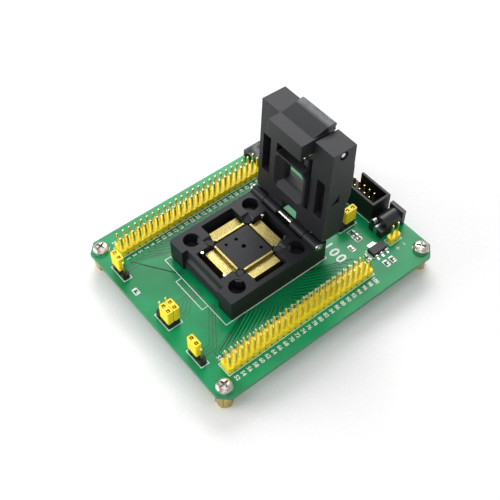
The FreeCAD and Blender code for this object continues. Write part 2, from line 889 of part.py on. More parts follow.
def jack_body():
    """Moulded jack: rounded barrel, square flange at its mouth and an open tail for its contacts."""
    front = jack_front_y()
    back = front - jack_length
    axis_z = board_top + jack_centre_height
    half = jack_width / 2
    foot = box(jack_x - half, jack_x + half, back, front, board_top, axis_z)
    barrel = Part.makeCylinder(half, jack_length, Vector(jack_x, back, axis_z), Vector(0, 1, 0))
    flange_half = jack_flange_width / 2
    flange = box(jack_x - flange_half, jack_x + flange_half, front - jack_flange_length, front,
                 board_top, board_top + jack_flange_height)
    tail = box(jack_x - half, jack_x + half, back, back + jack_rear_cut,
               board_top + jack_centre_height, board_top + jack_height + beyond)
    body = joined([foot, barrel.cut(tail), flange])
    bore = Part.makeCylinder(jack_bore_diameter / 2, jack_bore_depth,
                             Vector(jack_x, front - jack_bore_depth, axis_z), Vector(0, 1, 0))
    body = body.cut(bore)
    for lead in jack_lead_boxes():
        body = body.cut(lead)
    return body.cut(jack_pin_cylinder())


def jack_pin_cylinder():
    axis_z = board_top + jack_centre_height
    front = jack_front_y()
    back = front - jack_length
    return Part.makeCylinder(jack_centre_diameter / 2, jack_length - (jack_bore_depth - jack_centre_length),
                             Vector(jack_x, back, axis_z), Vector(0, 1, 0))


def jack_centre_pin():
    pin = jack_pin_cylinder()
    tip = [edge for edge in pin.Edges
           if edge.Closed and edge.BoundBox.YMin > jack_front_y() - jack_bore_depth]
    return pin.makeChamfer(jack_tip_bevel, tip)


def jack_lead_boxes():
    """Flat solder leads at the back and on the left of the jack."""
    back = jack_front_y() - jack_length
    half = jack_lead_width / 2
    thick = jack_leaf_thickness
    rear = box(jack_x - half, jack_x + half, back, back + thick,
               board_top, board_top + jack_centre_height - jack_centre_diameter / 2)
    left_x = jack_x - jack_width / 2
    side = box(left_x, left_x + thick, back + jack_rear_cut / 2 - half, back + jack_rear_cut / 2 + half,
               board_top, board_top + jack_centre_height)
    return [rear, side]


def jack_contacts():
    """Rear lead, and the side lead with its sprung leaf curling over the open tail."""
    rear, side = jack_lead_boxes()
    left_x = jack_x - jack_width / 2
    back = jack_front_y() - jack_length
    axis_z = board_top + jack_centre_height
    middle = back + jack_rear_cut / 2
    half = jack_lead_width / 2
    radius = ((jack_width - jack_centre_diameter) / 2 - jack_leaf_gap) / 2
    centre_z = board_top + jack_leaf_height - radius
    start = Vector(left_x + radius, middle - half, centre_z)
    ring = Part.makeCylinder(radius, jack_lead_width, start, Vector(0, 1, 0))
    hollow = Part.makeCylinder(radius - jack_leaf_thickness, jack_lead_width, start, Vector(0, 1, 0))
    upper = box(left_x, left_x + 2 * radius, middle - half, middle + half, centre_z, centre_z + radius)
    leaf = ring.cut(hollow).common(upper)
    riser = box(left_x, left_x + jack_leaf_thickness, middle - half, middle + half, axis_z, centre_z)
    return Part.makeCompound([rear, joined([side, riser, leaf])])


def usb_shell():
    """Folded metal shell of the small power receptacle, open towards the left edge."""
    left = usb_edge_inset - board_right
    half = usb_width / 2
    top = board_top + usb_height

    def outline(inset):
        side = half - inset
        low = board_top + inset
        high = top - inset
        return [(usb_y - side + usb_taper, low), (usb_y + side - usb_taper, low),
                (usb_y + side, low + usb_taper), (usb_y + side, high),
                (usb_y - side, high), (usb_y - side, low + usb_taper)]

    shell = side_prism(outline(0), left, left + usb_length)
    return shell.cut(side_prism(outline(usb_wall), left, left + usb_length - usb_wall))


def usb_tongue():
    right = usb_edge_inset - board_right + usb_length - usb_wall
    half = usb_tongue_width / 2
    low = board_top + usb_height / 2
    return box(right - usb_tongue_length, right, usb_y - half, usb_y + half, low, low + usb_tongue_thickness)


# Surface-mount parts

def regulator_body():
    half_x = regulator_width / 2
    half_y = regulator_length / 2
    draft = regulator_draft
    middle = board_top + lead_height
    top = board_top + regulator_height
    low = board_top + regulator_stand_off

    def ring(inset, z):
        corners = [(-half_x + inset, -half_y + inset), (half_x - inset, -half_y + inset),
                   (half_x - inset, half_y - inset), (-half_x + inset, half_y - inset)]
        points = [Vector(regulator_x + x, regulator_y + y, z) for x, y in corners]
        return Part.makePolygon(points + points[:1])

    lower = Part.makeLoft([ring(draft, low), ring(0, middle)], True, True)
    upper = Part.makeLoft([ring(0, middle), ring(draft, top)], True, True)
    return joined([lower, upper])


def gull_lead(width, side):
    """Bent lead from the body's side down to its foot, towards positive or negative X."""
    start = regulator_x + side * regulator_width / 2
    thick = lead_thickness
    run = [(0, lead_height), (lead_shoulder, lead_height), (lead_shoulder + thick, thick),
           (lead_reach, thick), (lead_reach, 0), (lead_shoulder, 0),
           (lead_shoulder - thick, lead_height - thick), (0, lead_height - thick)]
    points = [Vector(start + side * x, -width / 2, board_top + z) for x, z in run]
    return face_of(points).extrude(Vector(0, width, 0))


def regulator_leads():
    leads = [moved(gull_lead(lead_width, 1), 0, regulator_y + k * lead_pitch, 0) for k in (-1, 0, 1)]
    leads.append(moved(gull_lead(tab_lead_width, -1), 0, regulator_y, 0))
    return Part.makeCompound(leads)


def chip_part(x, y, height, along_y):
    """Two-ended chip, with its solder caps a little proud of the body."""
    cap = chip_cap_length
    half = chip_length / 2
    wide = chip_width / 2
    inset = chip_body_inset
    body = box(-half + cap, half - cap, -wide + inset, wide - inset, inset, height - inset)
    ends = [box(-half, -half + cap, -wide, wide, 0, height), box(half - cap, half, -wide, wide, 0, height)]
    chip = joined([body] + ends)
    return moved(turned(chip, 90 if along_y else 0), x, y, board_top)


def chip_from_corner(insets, height):
    """Chip placed by its distances from the board's right and back edges."""
    from_right, from_back, along_y = insets
    return chip_part(board_right - from_right, board_back - from_back, height, along_y)


def chip_resistors():
    chips = [chip_from_corner(insets, resistor_height) for insets in resistor_insets]
    front_x = front_resistor_left_inset - board_right
    front_y = front_resistor_inset - board_back
    chips.append(chip_part(front_x, front_y, resistor_height, False))
    return Part.makeCompound(chips)


def chip_capacitors():
    return Part.makeCompound([chip_from_corner(insets, capacitor_height) for insets in capacitor_insets])


def status_led():
    return chip_from_corner(led_insets, led_height)


def parts():
    left_cap_x = left_jumper_x - pitch / 2
    middle_cap_x = middle_jumper_x + pitch / 2
    right_cap_x = right_jumper_x - pitch / 2
    supply_cap_y = supply_jumper_y + pitch / 2
    return {
        "pcb": pcb(),
        "standoffs": at_screws(standoff()),
        "board_screws": at_screws(board_screw()),
        "left_header_body": long_header_body(-1),
        "left_header_pins": pins_at(left_header_places, header_pin_height),
        "right_header_body": long_header_body(1),
        "right_header_pins": pins_at(right_header_places, header_pin_height),
        "power_header_body": moved(header_body(2, 1, header_height), power_header_x, power_header_y, 0),
        "power_header_pins": pins_at(power_header_places, header_pin_height),
        "left_jumper_base": jumper_base(1, left_jumper_x, jumper_y, 90),
        "left_jumper_pins": pins_at(left_jumper_places, jumper_pin_height),
        "left_jumper_cap": jumper_cap(left_cap_x, jumper_y, False),
        "middle_jumper_base": jumper_base(2, middle_jumper_x, middle_jumper_y, 90),
        "middle_jumper_pins": pins_at(middle_jumper_places, jumper_pin_height),
        "middle_jumper_front_cap": jumper_cap(middle_cap_x, middle_jumper_y - pitch / 2, False),
        "middle_jumper_back_cap": jumper_cap(middle_cap_x, middle_jumper_y + pitch / 2, False),
        "right_jumper_base": jumper_base(1, right_jumper_x, jumper_y, 90),
        "right_jumper_pins": pins_at(right_jumper_places, jumper_pin_height),
        "right_jumper_cap": jumper_cap(right_cap_x, jumper_y, False),
        "supply_jumper_base": jumper_base(1, supply_jumper_x, supply_jumper_y, 0),
        "supply_jumper_pins": pins_at(supply_jumper_places, jumper_pin_height),
        "supply_jumper_cap": jumper_cap(supply_jumper_x, supply_cap_y, True),
        "socket_base": socket_base(),
        "seating_platform": seating_platform(),
        "contacts_front": contact_bank(180),
        "contacts_back": contact_bank(0),
        "contacts_left": contact_bank(90),
        "contacts_right": contact_bank(270),
        "retainer_pins": retainer_pins(),
        "hinge_pin": hinge_pin(),
        "hinge_clips": hinge_clips(),
        "lid_frame": lid_frame(),
        "pressure_plate": pressure_plate(),
        "plate_pins": plate_pins(),
        "stop_rod": stop_rod(),
        "lid_latch": lid_latch(),
        "latch_pin": latch_pin(),
        "latch_spring": latch_spring(),
        "box_header_shroud": box_header_shroud(),
        "box_header_pins": pins_at(box_header_places, box_header_pin_height),
        "jack_body": jack_body(),
        "jack_centre_pin": jack_centre_pin(),
        "jack_contacts": jack_contacts(),
        "usb_shell": usb_shell(),
        "usb_tongue": usb_tongue(),
        "regulator_body": regulator_body(),
        "regulator_leads": regulator_leads(),
        "chip_resistors": chip_resistors(),
        "chip_capacitors": chip_capacitors(),
        "status_led": status_led(),
    }


os.makedirs("parts", exist_ok=True)
for name, shape in parts().items():
    shape.exportStep("parts/" + name + ".step")
    print(name, len(shape.Solids), round(shape.Volume, 2), shape.isValid())
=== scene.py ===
import math
import bmesh
import bpy
from mathutils import Matrix, Vector


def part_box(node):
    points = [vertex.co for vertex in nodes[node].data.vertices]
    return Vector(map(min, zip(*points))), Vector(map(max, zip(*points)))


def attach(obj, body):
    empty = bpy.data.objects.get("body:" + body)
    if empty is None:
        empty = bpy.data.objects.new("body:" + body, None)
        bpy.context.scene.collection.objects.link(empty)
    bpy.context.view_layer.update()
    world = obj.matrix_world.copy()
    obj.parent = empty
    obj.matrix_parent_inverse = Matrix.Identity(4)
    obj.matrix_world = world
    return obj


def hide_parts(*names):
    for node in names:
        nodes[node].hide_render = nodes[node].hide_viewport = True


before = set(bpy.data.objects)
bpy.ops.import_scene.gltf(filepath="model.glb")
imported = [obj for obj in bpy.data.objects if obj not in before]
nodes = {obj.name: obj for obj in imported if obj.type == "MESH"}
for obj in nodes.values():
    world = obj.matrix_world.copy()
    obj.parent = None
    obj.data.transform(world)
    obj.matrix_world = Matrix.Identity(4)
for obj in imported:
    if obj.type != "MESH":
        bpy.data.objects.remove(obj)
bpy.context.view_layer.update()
scene = bpy.context.scene
mm = 0.001

# Camera: it looks down on the open socket from over the board's front right corner, with a short
# telephoto lens, so the board's far edges close in a little. Places are in millimetres.
camera_place = Vector((147.89, -124.68, 256.93)) * mm
camera_target = Vector((-2.2095, -3.1983, 8.6)) * mm
camera_data = bpy.data.cameras.new("camera")
camera_data.lens = 63.807
camera_data.sensor_width = 36.0
camera_data.clip_start = 0.01
camera = bpy.data.objects.new("camera", camera_data)
scene.collection.objects.link(camera)
camera.location = camera_place
camera.rotation_euler = (camera_target - camera_place).to_track_quat("-Z", "Y").to_euler()
scene.camera = camera

# Studio light: a large soft box stands behind on the left, so the soft shadow falls to the lower
# right, and three weaker ones open up the front faces and the tops. The room itself is pale.
scene.view_settings.view_transform = "Standard"
room_brightness = 0.45


def soft_box(name, place, target, width, height, power):
    """Area light aimed at a point, with its places and sizes in millimetres and power in watts."""
    data = bpy.data.lights.new(name, "AREA")
    data.shape = "RECTANGLE"
    data.size = width * mm
    data.size_y = height * mm
    data.energy = power
    box = bpy.data.objects.new(name, data)
    scene.collection.objects.link(box)
    box.location = Vector(place) * mm
    aim = Vector(target) * mm - box.location
    box.rotation_euler = aim.to_track_quat("-Z", "Y").to_euler()


soft_box("back_left_light", (-330, 300, 420), (-10, -10, 10), width=420, height=300, power=2.3)
soft_box("front_right_light", (330, -260, 300), (0, 0, 20), width=260, height=260, power=0.35)
soft_box("front_left_light", (-250, -400, 150), (0, 0, 15), width=320, height=240, power=1.5)
soft_box("overhead_light", (40, 0, 560), (0, 0, 0), width=320, height=320, power=0.45)
world = bpy.data.worlds.new("studio")
scene.world = world
world.use_nodes = True
world.node_tree.nodes["Background"].inputs["Color"].default_value = (1.0, 1.0, 1.0, 1.0)
world.node_tree.nodes["Background"].inputs["Strength"].default_value = room_brightness

# Floor: a wide sheet of smooth white card under the standoffs, with no shine of its own.
# Its faint fibre keeps the shadow's edge from looking like paint. Where the real grain of a finish is
# too fine for the render, here and below, it is drawn a few tenths of a millimetre across.
card_half = 3000.0
card_fibre = 1.1
darkest_at = 0.35
palest_at = 0.65
grain_detail = 3.0
grain_strength = 0.35


def linear(hex_code):
    """Linear colour from an sRGB hex value."""
    channels = [int(hex_code[k:k + 2], 16) / 255 for k in (0, 2, 4)]
    return [c / 12.92 if c <= 0.04045 else ((c + 0.055) / 1.055) ** 2.4 for c in channels] + [1.0]


def add_node(tree, kind, inputs=None, **settings):
    """Adds a shader node. An input given as a socket is linked, and any other value is set."""
    made = tree.nodes.new(kind)
    for name, value in settings.items():
        setattr(made, name, value)
    for name, value in (inputs or {}).items():
        if isinstance(value, bpy.types.NodeSocket):
            tree.links.new(value, made.inputs[name])
        else:
            made.inputs[name].default_value = value
    return made


def finish(name, dark, pale, grain, roughness, metallic=0.0, depth=0.0, drawn=(1.0, 1.0, 1.0)):
    """Material that drifts between two tones. The grain's size and depth are in millimetres."""
    material = bpy.data.materials.new(name)
    material.use_nodes = True
    tree = material.node_tree
    surface = tree.nodes["Principled BSDF"]
    surface.inputs["Roughness"].default_value = roughness
    surface.inputs["Metallic"].default_value = metallic
    place = add_node(tree, "ShaderNodeTexCoord")
    stretch = add_node(tree, "ShaderNodeMapping", {"Vector": place.outputs["Object"], "Scale": drawn})
    grains = add_node(tree, "ShaderNodeTexNoise", {"Vector": stretch.outputs["Vector"],
                                                   "Scale": 1 / (grain * mm), "Detail": grain_detail})
    tone = add_node(tree, "ShaderNodeValToRGB", {"Fac": grains.outputs["Fac"]})
    tone.color_ramp.elements[0].position = darkest_at
    tone.color_ramp.elements[0].color = linear(dark)
    tone.color_ramp.elements[1].position = palest_at
    tone.color_ramp.elements[1].color = linear(pale)
    tree.links.new(tone.outputs["Color"], surface.inputs["Base Color"])
    if depth:
        relief = add_node(tree, "ShaderNodeBump", {"Strength": grain_strength, "Distance": depth * mm,
                                                   "Height": grains.outputs["Fac"]})
        tree.links.new(relief.outputs["Normal"], surface.inputs["Normal"])
    return material


white_card = finish("smooth_white_card", "F8F8F8", "FCFCFC", grain=card_fibre, roughness=0.9, depth=0.01)
card_mesh = bpy.data.meshes.new("card")
card_edge = card_half * mm
card_mesh.from_pydata([(-card_edge, -card_edge, 0), (card_edge, -card_edge, 0),
                       (card_edge, card_edge, 0), (-card_edge, card_edge, 0)], [], [(0, 1, 2, 3)])
card_mesh.materials.append(white_card)
card = bpy.data.objects.new("card", card_mesh)
scene.collection.objects.link(card)

# Circuit board: woven glass and epoxy laminate, routed to shape and coated with green solder mask.
# The mask is clear and glossy, so it drifts a little in tone and shows the cloth as a faint weave,
# drawn about twice as coarse as the real one. The routed edge has no mask and is duller.
mask_drift = 22.0
mask_shine = 0.3
thread_pitch = 0.9
threads_per_wave = 2
thread_rise = 0.02
thread_strength = 0.12
# A Mix node keeps its colours in these sockets.
first_colour = 6
second_colour = 7
mixed_colour = 2


def span(name):
    """Lowest and highest corner of a node in millimetres."""
    low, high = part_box(name)
    return low / mm, high / mm


def dress(material, *names):
    """Gives a material to CAD nodes, by name."""
    for name in names:
        nodes[name].data.materials.clear()
        nodes[name].data.materials.append(material)


board_low, board_high = span("pcb")
board_bottom = board_low.z
board_top = board_high.z
solder_mask = finish("green_solder_mask", "00804A", "009E60", grain=mask_drift, roughness=0.3)
tree = solder_mask.node_tree
surface = tree.nodes["Principled BSDF"]
surface.inputs["Specular IOR Level"].default_value = mask_shine
mask_tone = surface.inputs["Base Color"].links[0].from_socket
place = add_node(tree, "ShaderNodeTexCoord")
facing = add_node(tree, "ShaderNodeNewGeometry")
facing_up = add_node(tree, "ShaderNodeSeparateXYZ", {"Vector": facing.outputs["Normal"]})
flat = add_node(tree, "ShaderNodeMath", {0: facing_up.outputs["Z"]}, operation="ABSOLUTE")
mask_or_edge = add_node(tree, "ShaderNodeMix", {"Factor": flat.outputs["Value"],
                                               first_colour: linear("2C7A50"),
                                               second_colour: mask_tone}, data_type="RGBA")
# A wave texture with a scale of 1 repeats every pi / 10 units.
cloth_scale = math.pi / 10 / (threads_per_wave * thread_pitch * mm)
warp = add_node(tree, "ShaderNodeTexWave", {"Vector": place.outputs["Object"], "Scale": cloth_scale},
                bands_direction="X")
weft = add_node(tree, "ShaderNodeTexWave", {"Vector": place.outputs["Object"], "Scale": cloth_scale},
                bands_direction="Y")
cloth = add_node(tree, "ShaderNodeMath", {0: warp.outputs["Fac"], 1: weft.outputs["Fac"]},
                 operation="MULTIPLY")
relief = add_node(tree, "ShaderNodeBump", {"Strength": thread_strength, "Distance": thread_rise * mm,
                                           "Height": cloth.outputs["Value"]})
tree.links.new(mask_or_edge.outputs[mixed_colour], surface.inputs["Base Color"])
tree.links.new(relief.outputs["Normal"], surface.inputs["Normal"])
dress(solder_mask, "pcb")

# Copper tracks: etched foil under the mask, in thin dark lines that fan in from the header pins to
# the socket's contacts, and run back from the front jumpers. The foil lifts the mask very slightly.
track_width = 0.3
track_rise = 0.02
pitch = 2.54
columns = 25
fan_pitch = 0.62
knee_x = 24.6
knee_step = 0.08
pair_gap = 0.5
slope_share = 0.45
least_slope = 0.4
straight_end = 0.5
pin_dodge = 0.8
socket_edge_x = 17.0
jumper_run_front = -42.6
jumper_run_bend = -38.4
jumper_run_back = -27.0
jumper_bend_step = 0.6
jumper_slope = 9.0
jumper_end_pitch = 0.8
sharpest_miter = 0.5
# Each jumper, where its tracks reach the socket, and how many there are.
jumper_runs = (("left_jumper_base", -9.5, 3), ("middle_jumper_base", 1.0, 5),
               ("right_jumper_base", 9.0, 3))


def ribbon(build, points, width, low, high, closed=False):
    """Adds a flat strip with mitred corners along points, all in millimetres."""
    count = len(points)
    legs = count if closed else count - 1
    along = [(Vector(points[(k + 1) % count]) - Vector(points[k])).normalized() for k in range(legs)]
    rings = []
    for k in range(count):
        before = along[k - 1] if closed or k > 0 else along[k]
        after = along[k] if k < legs else along[-1]
        miter = (before + after).normalized()
        reach = Vector((-miter.y, miter.x)) * width / 2 / max(sharpest_miter, miter.dot(after))
        left = Vector(points[k]) + reach
        right = Vector(points[k]) - reach
        rings.append([build.verts.new(Vector((spot.x, spot.y, z)) * mm)
                      for spot, z in ((left, low), (right, low), (right, high), (left, high))])
    for k in range(legs):
        ring = rings[k]
        following = rings[(k + 1) % count]
        for j in range(4):
            m = (j + 1) % 4
            build.faces.new((ring[j], ring[m], following[m], following[j]))
    if not closed:
        build.faces.new(rings[0][::-1])
        build.faces.new(rings[-1])


def piece_of(mesh, name, material, body):
    """Puts a mesh in the scene as a piece that rides on a body."""
    mesh.materials.clear()
    mesh.materials.append(material)
    piece = bpy.data.objects.new(name, mesh)
    scene.collection.objects.link(piece)
    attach(piece, body)
    return piece


def mesh_of(build, name):
    """Mesh from a finished bmesh, with its faces turned outwards."""
    bmesh.ops.recalc_face_normals(build, faces=build.faces)
    mesh = bpy.data.meshes.new(name)
    build.to_mesh(mesh)
    build.free()
    return mesh


header_low, header_high = span("right_header_body")
header_y = (header_low.y + header_high.y) / 2
inner_pin_x = header_low.x + pitch / 2
outer_pin_x = header_high.x - pitch / 2
platform_low, platform_high = span("seating_platform")
socket_y = (platform_low.y + platform_high.y) / 2
column_ys = [header_y + (column - (columns - 1) / 2) * pitch for column in range(columns)]
covered_copper = finish("mask_beside_copper_foil", "004826", "006A35", grain=1.4, roughness=0.3)
build = bmesh.new()
for side in (-1, 1):
    for column, start_y in enumerate(column_ys):
        offset = column - (columns - 1) / 2
        inner_knee = knee_x - abs(offset) * knee_step
        inner_end = socket_y + (2 * offset - 0.5) * fan_pitch
        slope = min(abs(start_y - inner_end) * slope_share + least_slope,
                    inner_knee - socket_edge_x - straight_end)
        ribbon(build, [(side * inner_pin_x, start_y), (side * inner_knee, start_y),
                       (side * (inner_knee - slope), inner_end), (side * socket_edge_x, inner_end)],
               track_width, board_top - track_rise, board_top + track_rise)
        gap_y = start_y + pitch / 2
        outer_knee = inner_knee + pair_gap
        outer_end = socket_y + (2 * offset + 0.5) * fan_pitch
        slope = min(abs(gap_y - outer_end) * slope_share + least_slope,
                    outer_knee - socket_edge_x - straight_end)
        ribbon(build, [(side * outer_pin_x, start_y), (side * (outer_pin_x - pin_dodge), gap_y),
                       (side * outer_knee, gap_y), (side * (outer_knee - slope), outer_end),
                       (side * socket_edge_x, outer_end)],
               track_width, board_top - track_rise, board_top + track_rise)
for name, socket_x, runs in jumper_runs:
    jumper_low, jumper_high = span(name)
    for k in range(runs):
        from_middle = k - (runs - 1) / 2
        start_x = (jumper_low.x + jumper_high.x) / 2 + from_middle * pitch / 2
        end_x = socket_x + from_middle * jumper_end_pitch
        bend_y = jumper_run_bend + jumper_bend_step * k
        slope_end_y = bend_y + min(abs(end_x - start_x), jumper_slope)
        ribbon(build, [(start_x, jumper_run_front), (start_x, bend_y), (end_x, slope_end_y),
                       (end_x, jumper_run_back)],
               track_width, board_top - track_rise, board_top + track_rise)
piece_of(mesh_of(build, "copper_tracks"), "copper_tracks", covered_copper, "board")

# Printed outlines: white epoxy ink screened on the mask round the headers, the socket, its latch
# and the small parts, with the signs for plus and minus at the power pins. The ink is matt, a few
# hundredths of a millimetre thick and slightly uneven.
ink_rise = 0.045
ink_low = board_top + track_rise / 2
ink_high = board_top + ink_rise
line_width = 0.26
body_gap = 0.15 + line_width / 2
chip_gap_x = 0.5
chip_gap_y = 0.45
outline_half = 17.45
outline_front = -29.3
outline_back = 15.5
front_return = 2.5
side_return = 1.4
back_return = 1.6
tab_half = 7.5
tab_depth = 2.5
shroud_gap = 0.55
shroud_overrun = 0.2
sign_gap = 3.6
sign_half = 0.7
weld = 0.0005


def frame_round(low, high, gap_x, gap_y):
    """Corners of an outline round a box seen from above."""
    return [(low.x - gap_x, low.y - gap_y), (high.x + gap_x, low.y - gap_y),
            (high.x + gap_x, high.y + gap_y), (low.x - gap_x, high.y + gap_y)]


def solids_of(name):
    """Lowest and highest corner in millimetres of each solid in a node."""
    source = bmesh.new()
    source.from_mesh(nodes[name].data)
    bmesh.ops.remove_doubles(source, verts=source.verts, dist=weld * mm)
    left = set(source.verts)
    found = []
    while left:
        queue = [left.pop()]
        corners = []
        while queue:
            vertex = queue.pop()
            corners.append(vertex.co / mm)
            for edge in vertex.link_edges:
                other = edge.other_vert(vertex)
                if other in left:
                    left.remove(other)
                    queue.append(other)
        low = Vector([min(corner[k] for corner in corners) for k in range(3)])
        high = Vector([max(corner[k] for corner in corners) for k in range(3)])
        found.append((low, high))
    source.free()
    return sorted(found, key=lambda pair: (round(pair[0].x, 2), round(pair[0].y, 2)))


white_ink = finish("white_epoxy_ink", "DDE8E0", "FFFFFF", grain=0.4, roughness=0.6)
build = bmesh.new()
for name in ("left_header_body", "right_header_body", "power_header_body", "left_jumper_base",
             "middle_jumper_base", "right_jumper_base", "supply_jumper_base", "regulator_body"):
    low, high = span(name)
    ribbon(build, frame_round(low, high, body_gap, body_gap), line_width, ink_low, ink_high, True)
for name in ("chip_resistors", "chip_capacitors", "status_led"):
    for low, high in solids_of(name):
        ribbon(build, frame_round(low, high, chip_gap_x, chip_gap_y), line_width,
               ink_low, ink_high, True)
ribbon(build, [(side_return - outline_half, outline_front + front_return),
               (-outline_half, outline_front + front_return), (-outline_half, outline_front),
               (outline_half, outline_front), (outline_half, outline_back),
               (outline_half - back_return, outline_back)], line_width, ink_low, ink_high)
tab_front = outline_front - tab_depth
ribbon(build, [(-tab_half, outline_front), (-tab_half, tab_front), (tab_half, tab_front),
               (tab_half, outline_front)], line_width, ink_low, ink_high)
shroud_low, shroud_high = span("box_header_shroud")
shroud_line_y = shroud_low.y - shroud_gap
ribbon(build, [(shroud_low.x, shroud_line_y), (shroud_high.x + shroud_overrun, shroud_line_y)],
       line_width, ink_low, ink_high)
power_low, power_high = span("power_header_pins")
sign_x = power_high.x + sign_gap
for first, last in (((sign_x - sign_half, power_low.y), (sign_x + sign_half, power_low.y)),
                    ((sign_x, power_low.y - sign_half), (sign_x, power_low.y + sign_half)),
                    ((sign_x - sign_half, power_high.y), (sign_x + sign_half, power_high.y))):
    ribbon(build, [first, last], line_width, ink_low, ink_high)
piece_of(mesh_of(build, "printed_outlines"), "printed_outlines", white_ink, "board")

# Printed numbers: the same ink. Every header pin has its number beside its row, odd inside and even
# outside, and larger digits behind the socket give its number of leads.
number_height = 1.45
number_weight = 0.04
number_spacing = 0.95
inner_number_gap = 1.84
outer_number_gap = 2.38
lead_count_height = 4.1
lead_count_weight = 0.12
lead_count_spacing = 1.2
lead_count_place = (17.4, 19.2)
# A digit stands about 0.7 of its font's size.
digit_share = 0.7


def printed_number(text, x, y, height, spacing, weight):
    """Mesh of digits that lie flat on the board about a point and read along X."""
    curve = bpy.data.curves.new("digits", "FONT")
    curve.body = text
    curve.size = height * mm / digit_share
    curve.align_x = "CENTER"
    curve.align_y = "CENTER"
    curve.space_character = spacing
    curve.offset = weight * mm
    curve.extrude = (ink_high - ink_low) / 2 * mm
    curve.resolution_u = 2
    digits = bpy.data.objects.new("digits", curve)
    scene.collection.objects.link(digits)
    bpy.context.view_layer.update()
    shaped = digits.evaluated_get(bpy.context.evaluated_depsgraph_get())
    mesh = bpy.data.meshes.new_from_object(shaped)
    mesh.transform(Matrix.Translation(Vector((x, y, (ink_low + ink_high) / 2)) * mm))
    bpy.data.objects.remove(digits)
    return mesh


build = bmesh.new()
for side, first in ((-1, 1), (1, columns * 2 + 1)):
    for column, y in enumerate(column_ys):
        inner_x = side * (header_low.x - inner_number_gap)
        outer_x = side * (header_high.x + outer_number_gap)
        build.from_mesh(printed_number(str(first + 2 * column), inner_x, y,
                                       number_height, number_spacing, number_weight))
        build.from_mesh(printed_number(str(first + 2 * column + 1), outer_x, y,
                                       number_height, number_spacing, number_weight))
piece_of(mesh_of(build, "pin_numbers"), "pin_numbers", white_ink, "board")
build = bmesh.new()
build.from_mesh(printed_number(str(columns * 4), lead_count_place[0], lead_count_place[1],
                               lead_count_height, lead_count_spacing, lead_count_weight))
piece_of(mesh_of(build, "lead_count"), "lead_count", white_ink, "board")

# Solder joints: every header pin ends under the board in a tinned ring with a cone of solder.
# The tin is bright and rippled where it froze.
ring_sides = 16
ring_radius = 0.95
ring_edge = 0.05
ring_thickness = 0.14
ring_sink = 0.02
cone_foot = 0.52
cone_top = 0.47
pin_clear = 0.3
cone_height = 0.95


def turned_ring(build, x, y, profile, sides):
    """Adds a closed turned ring about a vertical axis, its profile as radius and height."""
    rings = []
    for k in range(sides):
        angle = 2 * math.pi * k / sides
        rings.append([build.verts.new(Vector((x + r * math.cos(angle), y + r * math.sin(angle), z)) * mm)
                      for r, z in profile])
    for k in range(sides):
        following = rings[(k + 1) % sides]
        for j in range(len(profile)):
            m = (j + 1) % len(profile)
            build.faces.new((rings[k][j], following[j], following[m], rings[k][m]))


bright_tin = finish("bright_frozen_tin", "B4B6B8", "E6E8EA",
                    grain=0.7, roughness=0.28, metallic=1.0, depth=0.02)
pin_nodes = ("left_header_pins", "right_header_pins", "power_header_pins", "left_jumper_pins",
             "middle_jumper_pins", "right_jumper_pins", "supply_jumper_pins", "box_header_pins")
build = bmesh.new()
for name in pin_nodes:
    for low, high in solids_of(name):
        middle = (low + high) / 2
        turned_ring(build, middle.x, middle.y,
                    [(ring_radius, board_bottom - ring_sink),
                     (ring_radius - ring_edge, board_bottom - ring_thickness),
                     (cone_foot, board_bottom - cone_height / 2), (cone_top, board_bottom - cone_height),
                     (pin_clear, board_bottom - cone_height), (pin_clear, board_bottom - ring_sink)],
                    ring_sides)
piece_of(mesh_of(build, "solder_joints"), "solder_joints", bright_tin, "board")

# Screw pads: tinned copper rings round the four corner holes, on both faces of the board.
# The screws bear on the upper ones and the standoffs on the lower ones.
hex_across = 5.5
hex_corner = hex_across / math.sqrt(3)
pad_radius = 2.95
pad_hole = 1.7
pad_thickness = 0.04
pad_sink = 0.01
pad_sides = 48
standoff_high = span("standoffs")[1]
screw_x = standoff_high.x - hex_corner
screw_y = standoff_high.y - hex_across / 2
screw_places = [(sx * screw_x, sy * screw_y) for sx in (-1, 1) for sy in (-1, 1)]
build = bmesh.new()
for x, y in screw_places:
    for low, high in ((board_top - pad_sink, board_top + pad_thickness),
                      (board_bottom - pad_thickness, board_bottom + pad_sink)):
        turned_ring(build, x, y, [(pad_radius, low), (pad_radius, high),
                                  (pad_hole, high), (pad_hole, low)], pad_sides)
piece_of(mesh_of(build, "screw_pads"), "screw_pads", bright_tin, "board")

# Pan-head screws: cold-headed steel with a pressed cross recess, nickel plated, which gives a warm
# white shine. Each head was left at the angle where it tightened.
head_radius = 2.88
head_height = 2.2
crown_start = 0.85
crown_share = 0.72
crown_steps = 8
head_edge = 0.12
shank_radius = 1.34
shank_point = 1.0
shank_bevel = 0.3
recess_half = 0.45
recess_reach = 1.8
recess_depth = 1.4
recess_floor_x = 0.5
recess_floor_y = 0.7
recess_mouth = 1.1
recess_above = 0.5
screw_sides = 48
screw_turns = (0.35, 0.9, 0.15, 0.6)


def turned_solid(build, profile, sides):
    """Adds a solid turned about the Z axis, from a profile that starts and ends on the axis."""
    first = build.verts.new((0, 0, profile[0][1] * mm))
    last = build.verts.new((0, 0, profile[-1][1] * mm))
    rings = []
    for radius, z in profile[1:-1]:
        ring = []
        for k in range(sides):
            angle = 2 * math.pi * k / sides
            spot = Vector((radius * math.cos(angle), radius * math.sin(angle), z))
            ring.append(build.verts.new(spot * mm))
        rings.append(ring)
    for k in range(sides):
        m = (k + 1) % sides
        build.faces.new((first, rings[0][m], rings[0][k]))
        for lower, upper in zip(rings, rings[1:]):
            build.faces.new((lower[k], lower[m], upper[m], upper[k]))
        build.faces.new((rings[-1][k], rings[-1][m], last))


def loose_object(mesh):
    """Object for a mesh that is only shaped further."""
    thing = bpy.data.objects.new(mesh.name, mesh)
    scene.collection.objects.link(thing)
    return thing


